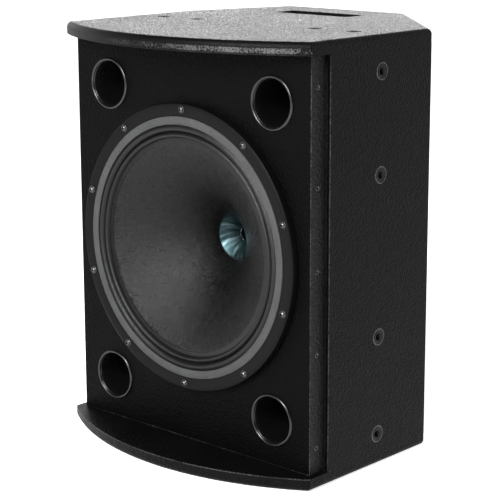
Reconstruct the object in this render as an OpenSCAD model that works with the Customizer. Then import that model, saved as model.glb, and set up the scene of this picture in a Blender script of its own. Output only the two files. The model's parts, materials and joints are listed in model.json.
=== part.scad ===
// Trapezoidal loudspeaker cabinet with one large coaxial driver, four corner
// ports, a hand recess in the top and threaded rigging points.
// Axes: +Z up, the baffle faces -Y, +X is to the right when facing the baffle.
// Origin: centre of the bounding box on the underside of the bottom panel.

/* [Cabinet] */
// Overall height of the cabinet
cab_h = 600; // [590:1:640]
// Overall width of the cabinet
cab_w = 466; // [460:1:500]
// Overall depth, from the bow of the front edge to the back
cab_d = 498; // [490:1:540]
// Thickness of the upright plywood panels
ply = 15; // [12:1:18]
// Thickness of the top and bottom panels
deck_t = 18; // [15:1:21]
// Radius of the rounded outer edges of the top and bottom panels
edge_r = 8; // [4:1:10]
// How far the front edge of the top and bottom panels bows out
front_bow = 71; // [50:0.5:80]
// How far the ends of the bow stand in front of the baffle
lip = 11; // [6:1:14]
// Length of the straight side, back from the baffle's face
side_len = 242; // [220:1:250]
// Left end of the narrow back panel
back_left = -175.5; // [-190:0.5:-160]
// Right end of the narrow back panel
back_right = 56; // [40:0.5:70]

/* [Baffle] */
// Width of the baffle, between the grille rebates
baffle_w = 447; // [446:1:452]
// Thickness of the baffle
baffle_t = 18; // [15:1:18]
// Length of the grille rebate, back from the baffle's face
rebate_len = 27; // [24:1:30]
// Height of the driver's axis above the floor
axis_z = 298; // [296:1:302]

/* [Ports] */
// Distance of each port's centre from the middle of the baffle
port_x = 156; // [154:1:158]
// Distance of each port's centre above or below the driver's axis
port_z = 217; // [215:1:219]
// Radius of the port's rolled lip
port_lip_r = 37; // [36:0.5:38]
// Inner radius of the port tube
port_r = 31; // [28:0.5:31]
// Length of the port tube behind the baffle's face
port_len = 120; // [80:1:150]

/* [Driver] */
// Outer radius of the cast frame
frame_r = 203; // [202:0.5:204]
// Radius of the circle that the frame's screws are on
screw_r = 195; // [194:0.5:196]
// Number of frame screws
screw_n = 10; // [6:2:12]
// How far the frame stands in front of the baffle
frame_front = 11.6; // [10:0.1:13]
// Outer radius of the paper cone
cone_r = 152.5; // [151:0.5:153]
// Depth of the cone's neck behind the baffle's face
neck_z = 98; // [94:1:100]
// Inner radius of the voice coil former
coil_r = 34.2; // [34:0.1:34.4]

/* [Fixings] */
// Bore radius of the M10 rigging inserts
rig_r = 4.25; // [4.2:0.01:4.3]
// Height of the rigging points above the floor, lowest to highest
rig_z = [45, 185, 411, 551];
// Distance of the rigging points behind the baffle's face
rig_y = 133.5; // [120:0.5:140]
// Distance of the four top rigging points from the middle
rig_x = [-182, -113, 113, 182];
// Bore radius of the M5 grille inserts
grille_r = 2.1; // [2:0.05:2.2]
// Inner radius of the stand socket, for a 35 mm pole
pole_r = 18; // [17.8:0.1:18.5]

/* [Rear] */
// Middle of the connector dish, left or right
dish_x = -60; // [-64:1:-56]
// Middle of the connector dish above the floor
dish_z = 330; // [300:1:350]
// Depth of the connector dish
dish_depth = 32; // [28:1:36]

/* [Hidden] */
$fn = 72;

half = cab_w / 2;
bf = -cab_d / 2 + front_bow + lip;      // face of the baffle
ear_y = bf - lip;                       // ends of the bowed front edge
side_y = bf + side_len;                 // back end of the straight sides
back_y = cab_d / 2;
z0 = deck_t;                             // top face of the bottom panel
z1 = cab_h - deck_t;                    // bottom face of the top panel
bow_r = (half * half + front_bow * front_bow) / (2 * front_bow);
bow_y = ear_y - front_bow + bow_r;
gap = 0.1;                              // assembly clearance

black = [0.06, 0.06, 0.065];
plastic = [0.09, 0.09, 0.095];
steel = [0.62, 0.63, 0.65];

// ---- plan outline ----------------------------------------------------
function isect(p, u, q, v) =
  let (k = ((q[0] - p[0]) * v[1] - (q[1] - p[1]) * v[0])
         / (u[0] * v[1] - u[1] * v[0])) p + k * u;
function unit(v) = v / norm(v);
r_dir = [back_right - half, back_y - side_y];
l_dir = [-half - back_left, side_y - back_y];
r_in = unit([-r_dir[1], r_dir[0]]);
l_in = unit([-l_dir[1], l_dir[0]]);
// corners of the walls, moved in by d: right side, right back, left back, left side
function corners(d) =
  let (a = [half - d, 0], b = [half, side_y] + r_in * d,
       c = [0, back_y - d], e = [back_left, back_y] + l_in * d,
       f = [-half + d, 0])
  [isect(a, [0, 1], b, r_dir), isect(b, r_dir, c, [1, 0]),
   isect(c, [1, 0], e, l_dir), isect(e, l_dir, f, [0, 1])];
function bow(d, n = 48) =
  let (rd = bow_r - d, th = asin((half - d) / rd))
  [for (i = [0:n]) let (a = -th + 2 * th * i / n) [rd * sin(a), bow_y - rd * cos(a)]];
function outline(d) = concat(bow(d), corners(d));

module slice(d, z, h) { translate([0, 0, z]) linear_extrude(h) polygon(outline(d)); }
// horizontal panel, z from 0 to deck_t, its top edge rounded over
module deck() {
  hull() {
    slice(0, 0, deck_t - edge_r);
    for (k = [1:6]) let (a = 15 * k)
      slice(edge_r * (1 - cos(a)), deck_t - edge_r + edge_r * sin(a) - 0.02, 0.02);
  }
}
module rounded_slot(x0, x1, y0, y1, r, h) {
  translate([x0 + r, y0, 0]) cube([x1 - x0 - 2 * r, y1 - y0, h]);
  translate([x0, y0 + r, 0]) cube([x1 - x0, y1 - y0 - 2 * r, h]);
  for (x = [x0 + r, x1 - r], y = [y0 + r, y1 - r]) translate([x, y, 0]) cylinder(r = r, h = h, $fn = 32);
}

// ---- helpers for round parts ----------------------------------------
// local +z points back into the cabinet from the baffle's face
module on_axis() { translate([0, bf, axis_z]) rotate([-90, 0, 0]) children(); }
module at_port(sx, sz) { translate([sx * port_x, bf, axis_z + sz * port_z]) rotate([-90, 0, 0]) children(); }
module tube(ri, ro, z, h) { translate([0, 0, z]) difference() { cylinder(r = ro, h = h); translate([0, 0, -1]) cylinder(r = ri, h = h + 2); } }
// local +z points out of the wall
module out_left(y, z) { translate([-half, y, z]) rotate([0, -90, 0]) children(); }
module out_right(y, z) { translate([half, y, z]) rotate([0, 90, 0]) children(); }

// ---- rigging inserts --------------------------------------------------
insert_l = 20;
module insert_seat() {
  translate([0, 0, -2]) cylinder(r = 12 + gap, h = 4);
  translate([0, 0, -deck_t - 2]) cylinder(r = 8 + gap, h = deck_t + 3);
}
module insert() {
  difference() {
    union() {
      translate([0, 0, -2]) cylinder(r = 12, h = 2);
      translate([0, 0, -insert_l]) cylinder(r = 8, h = insert_l);
    }
    translate([0, 0, -insert_l - 1]) cylinder(r = rig_r, h = insert_l + 2);
    translate([0, 0, -1.4]) cylinder(r1 = rig_r, r2 = rig_r + 1.6, h = 1.41);
  }
}
grille_y = bf + 13.7;
grille_z = [53.5, 183, 296.5, 408, 539.5];

// ---- woodwork ---------------------------------------------------------
hx0 = -109; hx1 = 29; hy0 = bf + 306; hy1 = bf + 345;   // hand opening
module top_panel() {
  color(black) difference() {
    translate([0, 0, z1]) deck();
    translate([0, 0, z1 - 1]) rounded_slot(hx0, hx1, hy0, hy1, 7, deck_t + 2);
    for (x = rig_x) translate([x, bf + rig_y + 2.5, cab_h]) insert_seat();
  }
}
module bottom_panel() {
  color(black) difference() {
    translate([0, 0, z0]) mirror([0, 0, 1]) deck();
    translate([0, pole_y, -1]) cylinder(r = pole_ro + gap, h = deck_t + 2);
    translate([0, pole_y, -1]) cylinder(r = 42 + gap, h = 4);
    for (a = [45:90:315]) rotate_about(pole_y, a) translate([34, 0, -1]) cylinder(r = 1.9, h = deck_t - 4, $fn = 24);
  }
}
wo = corners(0);
wi = corners(ply);
module wall(p) { translate([0, 0, z0]) linear_extrude(z1 - z0) polygon(p); }
step_y = bf + rebate_len;
land_y = bf + baffle_t;
module right_side_panel() {
  color(black) difference() {
    wall([[half - ply, land_y], [baffle_w / 2, land_y], [baffle_w / 2, step_y], [half, step_y], wo[0], wi[0]]);
    for (z = rig_z) out_right(bf + rig_y, z) insert_seat();
  }
}
module left_side_panel() {
  color(black) difference() {
    wall([[-half + ply, land_y], wi[3], wo[3], [-half, step_y], [-baffle_w / 2, step_y], [-baffle_w / 2, land_y]]);
    for (z = rig_z) out_left(bf + rig_y, z) insert_seat();
  }
}
module right_rear_panel() { color(black) wall([wo[0], wo[1], wi[1], wi[0]]); }
module left_rear_panel() { color(black) wall([wo[2], wo[3], wi[3], wi[2]]); }
dw = 150; dh = 170;                     // flange of the connector dish
cw = 118; ch = 138;                     // body of the connector dish
module back_panel() {
  color(black) difference() {
    wall([wo[1], wo[2], wi[2], wi[1]]);
    translate([dish_x - cw / 2 - 1, back_y - ply - 1, dish_z - ch / 2 - 1]) cube([cw + 2, ply + 2, ch + 2]);
    translate([dish_x - dw / 2 - gap, back_y - 3, dish_z - dh / 2 - gap]) cube([dw + 2 * gap, 4, dh + 2 * gap]);
    for (p = dish_holes()) translate([p[0], back_y + 1, p[1]]) rotate([90, 0, 0]) cylinder(r = 1.6, h = ply, $fn = 24);
  }
}
cut_r = 178;                            // driver opening in the baffle
module front_baffle() {
  color(black) difference() {
    translate([-baffle_w / 2, bf, z0]) cube([baffle_w, baffle_t, z1 - z0]);
    on_axis() translate([0, 0, -1]) cylinder(r = cut_r, h = baffle_t + 2);
    for (sx = [-1, 1], sz = [-1, 1]) at_port(sx, sz) translate([0, 0, -1]) cylinder(r = port_r + 3 + gap, h = baffle_t + 2);
    on_axis() for (i = [0:screw_n - 1]) rotate(i * 360 / screw_n) translate([0, screw_r, -1]) cylinder(r = 2.4, h = baffle_t - 2, $fn = 24);
    for (s = [-1, 1], z = grille_z) translate([s * baffle_w / 2, grille_y, z]) rotate([0, s * 90, 0]) translate([0, 0, -13]) cylinder(r = 3.6, h = 14, $fn = 32);
  }
}
module baffle_battens() {
  color([0.72, 0.58, 0.4]) {
    for (s = [-1, 1]) translate([s > 0 ? half - ply - 20 : -half + ply, land_y, z0]) cube([20, 20, z1 - z0]);
    for (z = [z0, z1 - 20]) translate([-half + ply + 20, land_y, z]) cube([2 * (half - ply - 20), 20, 20]);
  }
}

// ---- hand recess ------------------------------------------------------
module handle_cup() {
  x0 = hx0 - 15; x1 = hx1 + 15; y0 = hy0 - 10; y1 = hy1 + 37; d = 65; t = 4;
  color(plastic) difference() {
    translate([x0, y0, z1 - d]) cube([x1 - x0, y1 - y0, d]);
    translate([x0 + t, y0 + t, z1 - d + t]) cube([x1 - x0 - 2 * t, y1 - y0 - 2 * t, d - 2 * t]);
    translate([0, 0, z1 - t - 1]) rounded_slot(hx0, hx1, hy0, hy1, 7, t + 2);
  }
}

// ---- ports ------------------------------------------------------------
module port() {
  ro = port_r + 3;
  color(plastic) rotate_extrude($fn = 72) polygon(concat(
    [[port_r, port_len], [port_r, 12]],
    [for (a = [0:15:90]) [port_r + 1.6 * (1 - cos(a)), 12 * (1 - sin(a))]],
    [for (a = [0:15:180]) [(port_lip_r + port_r + 1.6) / 2 - (port_lip_r - port_r - 1.6) / 2 * cos(a), -2.6 * sin(a)]],
    [[ro, 0], [ro, port_len]]));
}
module port_top_left() { at_port(-1, 1) port(); }
module port_top_right() { at_port(1, 1) port(); }
module port_bottom_left() { at_port(-1, -1) port(); }
module port_bottom_right() { at_port(1, -1) port(); }

// ---- low-frequency driver --------------------------------------------
plate_z = neck_z + 24;                  // front face of the magnet's front plate
module driver_frame() {
  color([0.1, 0.1, 0.105]) on_axis() difference() {
    rotate_extrude($fn = 144) polygon([[171, -9], [171, 12], [176.5, 12], [176.5, 0], [frame_r, 0], [frame_r, -frame_front + 2.4],
      [frame_r - 2.4, -frame_front], [185.3, -frame_front], [185.3, -9]]);
    for (i = [0:screw_n - 1]) rotate(i * 360 / screw_n) translate([0, screw_r, -20]) cylinder(r = 2.8, h = 30, $fn = 24);
  }
}
// windowed basket behind the flange, down to the magnet
module driver_basket() {
  color([0.1, 0.1, 0.105]) on_axis() difference() {
    rotate_extrude($fn = 144) polygon([[171, 12], [107, plate_z - 14], [74, plate_z - 14], [74, plate_z - 7], [60, plate_z - 7], [60, plate_z],
      [114, plate_z], [114, plate_z - 14], [176.5, 12]]);
    for (i = [0:7]) rotate(22.5 + i * 45) translate([0, 0, 22]) linear_extrude(plate_z - 44) polygon([[60, -13], [200, -50], [200, 50], [60, 13]]);
  }
}
module front_gasket() { color([0.42, 0.43, 0.44]) on_axis() tube(173.6, 185, -12.4, 2); }
flange_z = -6;                          // front of the cone's flat rim
function roll(r) = let (t = (r - 154) / 18) flange_z - 1.2 - 3.1 * t - 3.6 * abs(sin(360 * t));
module surround() {
  rs = [for (i = [0:36]) 154 + 0.5 * i];
  color([0.13, 0.13, 0.14]) on_axis() rotate_extrude($fn = 144) polygon(concat(
    [[148.5, flange_z - 0.05], [148.5, flange_z - 1.2]],
    [for (r = rs) [r, roll(r)]],
    [[184.8, -10.3], [184.8, -9.1]],
    [for (i = [36:-1:0]) [rs[i], min(roll(rs[i]) + 1.25, i < 2 ? flange_z - 0.05 : 0)]]));
}
// flared cone: steep at the neck, shallow at the rim, with a short collar on the former
neck_r = coil_r + 0.7;
flare = 0.58; cone_t = 1.3;
function cone_z(r) = neck_z - (neck_z - flange_z) * pow((r - neck_r) / (148 - neck_r), flare);
function cone_back(r) =
  let (t = max((r - neck_r) / (148 - neck_r), 0.00002),
       s = -(neck_z - flange_z) * flare / (148 - neck_r) * pow(t, flare - 1), n = sqrt(1 + s * s))
  [r - s / n * cone_t, cone_z(r) + cone_t / n];
module cone() {
  rs = [for (i = [0:36]) neck_r + (148 - neck_r) * pow(i / 36, 2.4)];
  color([0.2, 0.2, 0.21]) on_axis() rotate_extrude($fn = 144) polygon(concat(
    [[neck_r, neck_z + 5]], [for (r = rs) [r, cone_z(r)]], [[cone_r, flange_z], [cone_r, flange_z + cone_t]],
    [for (i = [36:-1:1]) cone_back(rs[i])], [[neck_r + cone_t, neck_z + 0.5], [neck_r + cone_t, neck_z + 5]]));
}
module coil_former() { color([0.12, 0.1, 0.09]) on_axis() tube(coil_r, coil_r + 0.6, neck_z, 38); }
module coil_winding() { color([0.75, 0.45, 0.25]) on_axis() tube(coil_r + 0.65, coil_r + 1.8, plate_z - 3, 16); }
module spider() {
  rs = [for (i = [0:48]) 37 + 37 * i / 48];
  z = plate_z - 15.2;
  color([0.7, 0.62, 0.3]) on_axis() rotate_extrude($fn = 96) polygon(concat(
    [[coil_r + 0.65, z], [coil_r + 0.65, z - 0.9]], [for (r = rs) [r, z - 0.9 + 1.6 * sin((r - 37) * 360 / 7.4)]], [[84, z + 0.1], [84, z + 1.1]],
    [for (i = [48:-1:0]) [rs[i], z + 1.6 * sin((rs[i] - 37) * 360 / 7.4)]]));
}
module front_plate() { color(steel) on_axis() tube(coil_r + 2.9, 108, plate_z, 10); }
module ferrite_magnet() { color([0.16, 0.16, 0.17]) on_axis() tube(55, 110, plate_z + 10, 22); }
back_z = plate_z + 32;                  // front face of the magnet's back plate
module pole_piece() {
  color(steel) on_axis() difference() {
    union() { translate([0, 0, back_z]) cylinder(r = 106, h = 12); translate([0, 0, plate_z - 2]) cylinder(r = coil_r - 1.1, h = back_z - plate_z + 3); }
    translate([0, 0, 90]) cylinder(r = 14, h = 100);
  }
}
// flared guide from the high-frequency unit to the cone's neck
mouth_z = neck_z - 1; throat_z = neck_z + 23;
function horn_r(z) = 12 + 20.4 * pow((throat_z - z) / (throat_z - mouth_z), 1.5);
module waveguide() {
  zs = [for (i = [0:16]) mouth_z + (throat_z - mouth_z) * i / 16];
  color([0.55, 0.62, 0.66]) on_axis() rotate_extrude($fn = 96) polygon(concat(
    [for (z = zs) [horn_r(z), z]], [[12.4, back_z + 12], [13.4, back_z + 12], [13.4, plate_z - 2.1], [33, plate_z - 2.1], [33, mouth_z - 0.4], [32.6, mouth_z - 0.4]]));
}

// ---- high-frequency unit ---------------------------------------------
hz = back_z + 12;
dome_z = hz + 4;                        // centre of the dome's curvature
module hf_body() {
  color([0.12, 0.12, 0.12]) on_axis() rotate_extrude($fn = 96) polygon([[12.6, hz], [50, hz], [50, hz + 18], [24.8, hz + 18], [24.8, hz + 6], [12.6, hz + 6]]);
}
// domed plug with two rings of slots that lead into the throat
module hf_phase_plug() {
  color([0.5, 0.5, 0.52]) on_axis() difference() {
    intersection() {
      translate([0, 0, hz + 6]) cylinder(r = 22.4, h = 22);
      translate([0, 0, dome_z]) sphere(r = 26, $fn = 64);
    }
    for (r = [7, 14]) for (a = [0:120:240]) rotate(a + r) translate([0, 0, hz + 8]) rotate_extrude(angle = 96) polygon([[r, 0], [r + 1.4, 0], [r + 1.4, 30], [r, 30]]);
    translate([0, 0, hz + 5]) cylinder(r1 = 17, r2 = 12, h = 4);
  }
}
module hf_diaphragm() {
  color([0.78, 0.78, 0.8]) on_axis() {
    translate([0, 0, dome_z]) difference() {
      sphere(r = 27.2, $fn = 64);
      sphere(r = 26.6, $fn = 64);
      translate([-60, -60, -120]) cube([120, 120, 120 + 14.2]);
    }
    tube(22.75, 23.15, hz + 10, 8.5);
  }
}
module hf_coil() { color([0.75, 0.45, 0.25]) on_axis() tube(23.2, 24.1, hz + 11, 5); }
module hf_suspension() { color([0.6, 0.5, 0.3]) on_axis() tube(23.4, 34, hz + 18.05, 0.5); }
module hf_rear_cover() {
  color([0.1, 0.1, 0.1]) on_axis() difference() {
    translate([0, 0, hz + 18.6]) cylinder(r = 50, h = 26);
    translate([0, 0, hz + 18]) cylinder(r = 46, h = 23);
  }
}

// ---- driver fixings and terminals ------------------------------------
module driver_screws() {
  color([0.35, 0.35, 0.36]) on_axis() for (i = [0:screw_n - 1]) rotate(i * 360 / screw_n) translate([0, screw_r, 0]) difference() {
    union() {
      translate([0, 0, -frame_front - 3.2]) cylinder(r = 4.6, h = 3.2, $fn = 32);
      translate([0, 0, -frame_front - 0.5]) cylinder(r = 2.3, h = frame_front + 14, $fn = 24);
    }
    translate([0, 0, -frame_front - 4]) cylinder(r = 2.3, h = 3, $fn = 6);
  }
}
module driver_terminals() {
  color([0.5, 0.12, 0.1]) on_axis() difference() {
    translate([-16, 113.5, plate_z - 12]) cube([32, 13, 11]);
    translate([0, 0, 80]) cylinder(r = 114.05, h = 60);
    for (x = [-8, 8]) translate([x, 121, 80]) cylinder(r = 2, h = 60, $fn = 24);
  }
}

// ---- crossover --------------------------------------------------------
bx = -140; by = 70; bw = 160; bl = 115; bz = z0 + 8;
module crossover_board() {
  color([0.1, 0.3, 0.16]) difference() {
    translate([bx, by, bz]) cube([bw, bl, 2]);
    for (x = [bx + 8, bx + bw - 8], y = [by + 8, by + bl - 8]) translate([x, y, bz - 1]) cylinder(r = 1.8, h = 4, $fn = 24);
  }
}
module board_standoffs() {
  color([0.85, 0.85, 0.82]) for (x = [bx + 8, bx + bw - 8], y = [by + 8, by + bl - 8]) translate([x, y, z0]) {
    cylinder(r = 4, h = 8, $fn = 32);
    cylinder(r = 1.7, h = 12, $fn = 24);
    translate([0, 0, 10]) cylinder(r = 3, h = 2.4, $fn = 32);
  }
}
module coil(x, y, r, h) { translate([x, y, bz + 2]) difference() { cylinder(r = r, h = h); translate([0, 0, -1]) cylinder(r = r * 0.45, h = h + 2); } }
module crossover_inductors() { color([0.72, 0.4, 0.2]) { coil(bx + 42, by + 42, 28, 26); coil(bx + 104, by + 34, 20, 20); coil(bx + 140, by + 22, 12, 15); } }
module cap(x, y, r, l) { translate([x, y, bz + 2 + r]) rotate([0, 90, 0]) cylinder(r = r, h = l); }
module crossover_capacitors() { color([0.75, 0.62, 0.1]) { cap(bx + 16, by + 90, 11, 40); cap(bx + 64, by + 88, 13, 46); cap(bx + 118, by + 92, 8, 28); } }
module crossover_resistors() { color([0.85, 0.84, 0.8]) for (i = [0:2]) translate([bx + 78 + 22 * i, by + 62, bz + 2]) cube([18, 9, 9]); }

// ---- rear connector dish ---------------------------------------------
function dish_holes() = [for (x = [-1, 0, 1], z = [-1, 0, 1]) if (abs(x) + abs(z) > 0) [dish_x + x * (dw / 2 - 8), dish_z + z * (dh / 2 - 8)]];
floor_y = back_y - dish_depth;          // inner face that the sockets sit on
module input_dish() {
  color([0.14, 0.14, 0.15]) difference() {
    union() {
      translate([dish_x - dw / 2, back_y - 3, dish_z - dh / 2]) cube([dw, 3, dh]);
      translate([dish_x - cw / 2, floor_y - 2.5, dish_z - ch / 2]) cube([cw, dish_depth + 1, ch]);
    }
    translate([dish_x - cw / 2 + 2.5, floor_y, dish_z - ch / 2 + 2.5]) cube([cw - 5, dish_depth + 5, ch - 5]);
    for (p = dish_holes()) translate([p[0], back_y + 0.05, p[1]]) rotate([90, 0, 0]) { cylinder(r = 2, h = 6, $fn = 24); cylinder(r1 = 3.7, r2 = 1.7, h = 2.6, $fn = 32); }
    for (z = sock_z) translate([sock_x, floor_y + 1, z]) rotate([90, 0, 0]) cylinder(r = 12.2, h = 6, $fn = 48);
    translate([knob_x, floor_y + 1, knob_z]) rotate([90, 0, 0]) cylinder(r = 5.1, h = 6, $fn = 32);
  }
}
sock_x = dish_x - 24; sock_z = [dish_z - 34, dish_z + 34];
knob_x = dish_x + 30; knob_z = dish_z;
// round locking chassis socket: a shell, and a core that carries the contacts
module input_sockets() {
  color([0.07, 0.07, 0.08]) for (z = sock_z) translate([sock_x, floor_y, z]) rotate([-90, 0, 0]) difference() {
    union() {
      translate([-13, -15.5, 0]) cube([26, 31, 2.5]);
      translate([0, 0, -22]) cylinder(r = 12, h = 26, $fn = 48);
    }
    translate([0, 0, -18]) cylinder(r = 9.8, h = 24, $fn = 48);
    for (s = [-1, 1]) translate([s * 10.8, s * 13.3, -1]) cylinder(r = 1.4, h = 5, $fn = 24);
  }
}
module socket_cores() {
  color([0.05, 0.05, 0.05]) for (z = sock_z) translate([sock_x, floor_y, z]) rotate([-90, 0, 0]) difference() {
    translate([0, 0, -17.9]) cylinder(r = 5, h = 20, $fn = 48);
    for (a = [45:90:315]) rotate(a) translate([4.2, -0.8, -12]) cube([2, 1.6, 12]);
  }
}
module mode_switch_body() {
  color([0.2, 0.2, 0.22]) translate([knob_x, floor_y, knob_z]) rotate([-90, 0, 0]) difference() {
    union() { translate([0, 0, -18]) cylinder(r = 12, h = 15.4, $fn = 48); translate([0, 0, -3]) cylinder(r = 5, h = 5, $fn = 32); }
    translate([0, 0, -8]) cylinder(r = 3.05, h = 12, $fn = 32);
  }
}
module mode_switch_knob() {
  color([0.08, 0.08, 0.08]) translate([knob_x, floor_y, knob_z]) rotate([-90, 0, 0]) {
    translate([0, 0, -7]) cylinder(r = 3, h = 12, $fn = 32);
    difference() {
      union() { translate([0, 0, 2.4]) cylinder(r = 12, h = 9, $fn = 48); translate([-2.5, -15, 2.4]) cube([5, 30, 13]); }
      translate([-0.6, -15.2, 14.4]) cube([1.2, 13, 2]);
    }
  }
}
module dish_screws() {
  color([0.12, 0.12, 0.12]) for (p = dish_holes()) translate([p[0], back_y, p[1]]) rotate([90, 0, 0]) {
    translate([0, 0, -0.01]) difference() { cylinder(r1 = 3.4, r2 = 1.5, h = 2.4, $fn = 32); translate([0, 0, -1]) cylinder(r = 1.3, h = 2, $fn = 6); }
    cylinder(r = 1.5, h = 12, $fn = 24);
  }
}

// ---- rigging, grille and stand fixings -------------------------------
module left_rigging_inserts() { color(steel) for (z = rig_z) out_left(bf + rig_y, z) insert(); }
module right_rigging_inserts() { color(steel) for (z = rig_z) out_right(bf + rig_y, z) insert(); }
module top_rigging_inserts() { color(steel) for (x = rig_x) translate([x, bf + rig_y + 2.5, cab_h]) insert(); }
module grille_inserts() {
  color([0.7, 0.6, 0.3]) for (s = [-1, 1], z = grille_z) translate([s * baffle_w / 2, grille_y, z]) rotate([0, s * 90, 0]) difference() {
    translate([0, 0, -12]) cylinder(r = 3.5, h = 12, $fn = 32);
    translate([0, 0, -13]) cylinder(r = grille_r, h = 14, $fn = 32);
  }
}
pole_y = 10; pole_ro = 20.5; pole_len = 105;
module rotate_about(y, a) { translate([0, y, 0]) rotate(a) children(); }
module pole_socket() {
  color([0.1, 0.1, 0.1]) difference() {
    union() { translate([0, pole_y, 0]) cylinder(r = 42, h = 3); translate([0, pole_y, 0]) cylinder(r = pole_ro, h = pole_len); }
    translate([0, pole_y, -1]) cylinder(r = pole_r, h = pole_len - 2);
    for (a = [45:90:315]) rotate_about(pole_y, a) translate([34, 0, -0.05]) { cylinder(r = 2.2, h = 5, $fn = 24); cylinder(r1 = 4.4, r2 = 2, h = 2.9, $fn = 32); }
  }
}
module pole_socket_screws() {
  color([0.2, 0.2, 0.2]) for (a = [45:90:315]) rotate_about(pole_y, a) translate([34, 0, 0.3]) {
    cylinder(r1 = 4, r2 = 1.8, h = 2.6, $fn = 32);
    cylinder(r = 1.8, h = 11.5, $fn = 24);
  }
}

// ---- damping and wiring ----------------------------------------------
module acoustic_lining() {
  color([0.45, 0.45, 0.42]) {
    for (s = [-1, 1]) translate([s > 0 ? half - ply - 24 : -half + ply, -120, 205]) cube([24, 180, 186]);
    translate([-190, -5, z1 - 24]) cube([336, 125, 24]);
    translate([-150, back_y - ply - 24, 40]) cube([186, 24, 190]);
  }
}
// a round lead along a smooth line through the given points
function cr(p, i, t) =
  let (n = len(p) - 1, a = p[max(i - 1, 0)], b = p[i], c = p[min(i + 1, n)], d = p[min(i + 2, n)])
  0.5 * (2 * b + (c - a) * t + (2 * a - 5 * b + 4 * c - d) * t * t + (3 * b - a - 3 * c + d) * t * t * t);
function line(p, k = 5) = concat([for (i = [0:len(p) - 2], j = [0:k - 1]) cr(p, i, j / k)], [p[len(p) - 1]]);
module lead(p, r) {
  q = line(p); n = len(q); m = 8;
  ring = [for (i = [0:n - 1])
    let (d = unit(q[min(i + 1, n - 1)] - q[max(i - 1, 0)]), s = abs(d[2]) > 0.9 ? [1, 0, 0] : [0, 0, 1],
         u = unit(cross(d, s)), v = cross(d, u))
    for (j = [0:m - 1]) q[i] + r * (u * cos(360 * j / m) + v * sin(360 * j / m))];
  polyhedron(ring, concat([[for (j = [0:m - 1]) j]], [[for (j = [m - 1:-1:0]) (n - 1) * m + j]],
    [for (i = [0:n - 2], j = [0:m - 1]) [i * m + j, (i + 1) * m + j, (i + 1) * m + (j + 1) % m, i * m + (j + 1) % m]]));
}
input_route = [[sock_x, floor_y - 22.5, sock_z[0]], [sock_x, floor_y - 36, sock_z[0] - 6], [sock_x - 2, floor_y - 46, 240],
  [sock_x - 10, 162, 160], [sock_x - 34, 145, 95], [-130, 133, 62], [-132, 130, 44], [-132, 130, bz + 2.6]];
driver_route = [[8, bf + plate_z - 0.4, axis_z - 121], [8, bf + plate_z + 12, axis_z - 124], [6, bf + plate_z + 34, axis_z - 140], [0, 20, 140],
  [-30, 60, 110], [-52, 108, 92], [-64, 124, 70], [-66, 126, 46], [-66, 126, bz + 2.6]];
module input_cable() { color([0.5, 0.1, 0.1]) lead(input_route, 3); }
module driver_cable() { color([0.1, 0.1, 0.1]) lead(driver_route, 3); }

top_panel();
bottom_panel();
left_side_panel();
right_side_panel();
left_rear_panel();
right_rear_panel();
back_panel();
front_baffle();
baffle_battens();
handle_cup();
port_top_left();
port_top_right();
port_bottom_left();
port_bottom_right();
driver_frame();
driver_basket();
front_gasket();
surround();
cone();
coil_former();
coil_winding();
spider();
waveguide();
front_plate();
ferrite_magnet();
pole_piece();
hf_body();
hf_phase_plug();
hf_diaphragm();
hf_coil();
hf_suspension();
hf_rear_cover();
driver_screws();
driver_terminals();
crossover_board();
board_standoffs();
crossover_inductors();
crossover_capacitors();
crossover_resistors();
input_dish();
input_sockets();
socket_cores();
mode_switch_body();
mode_switch_knob();
dish_screws();
left_rigging_inserts();
right_rigging_inserts();
top_rigging_inserts();
grille_inserts();
pole_socket();
pole_socket_screws();
acoustic_lining();
input_cable();
driver_cable();
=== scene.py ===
import bpy
import bmesh
import json
import math
import numpy as np
from mathutils import Vector, Matrix


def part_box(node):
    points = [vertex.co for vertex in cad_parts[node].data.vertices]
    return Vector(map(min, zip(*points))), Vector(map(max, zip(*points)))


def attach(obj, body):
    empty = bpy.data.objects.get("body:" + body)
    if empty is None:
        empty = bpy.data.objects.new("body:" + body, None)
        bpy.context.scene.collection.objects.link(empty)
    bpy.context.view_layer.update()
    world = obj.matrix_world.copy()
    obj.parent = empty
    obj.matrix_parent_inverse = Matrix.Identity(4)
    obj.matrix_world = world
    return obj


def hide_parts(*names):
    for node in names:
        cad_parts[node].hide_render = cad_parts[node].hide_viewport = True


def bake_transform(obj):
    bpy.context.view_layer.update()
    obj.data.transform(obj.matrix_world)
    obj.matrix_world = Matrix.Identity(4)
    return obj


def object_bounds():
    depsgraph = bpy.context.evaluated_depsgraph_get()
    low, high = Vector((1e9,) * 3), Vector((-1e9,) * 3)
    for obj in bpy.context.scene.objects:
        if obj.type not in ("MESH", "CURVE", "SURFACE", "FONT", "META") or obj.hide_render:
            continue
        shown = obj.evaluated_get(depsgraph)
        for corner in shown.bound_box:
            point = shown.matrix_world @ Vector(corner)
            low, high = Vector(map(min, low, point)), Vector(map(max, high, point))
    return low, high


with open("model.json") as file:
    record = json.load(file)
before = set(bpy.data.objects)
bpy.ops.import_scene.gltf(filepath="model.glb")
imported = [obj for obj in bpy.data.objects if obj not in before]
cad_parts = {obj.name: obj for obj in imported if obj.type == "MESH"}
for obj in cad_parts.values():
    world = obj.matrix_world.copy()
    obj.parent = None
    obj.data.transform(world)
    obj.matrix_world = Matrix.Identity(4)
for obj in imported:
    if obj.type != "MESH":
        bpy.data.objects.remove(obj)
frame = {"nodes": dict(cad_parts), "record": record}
CAD_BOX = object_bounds()
NODES = frame["nodes"]
COLL = bpy.context.scene.collection
MM = 0.001

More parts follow.
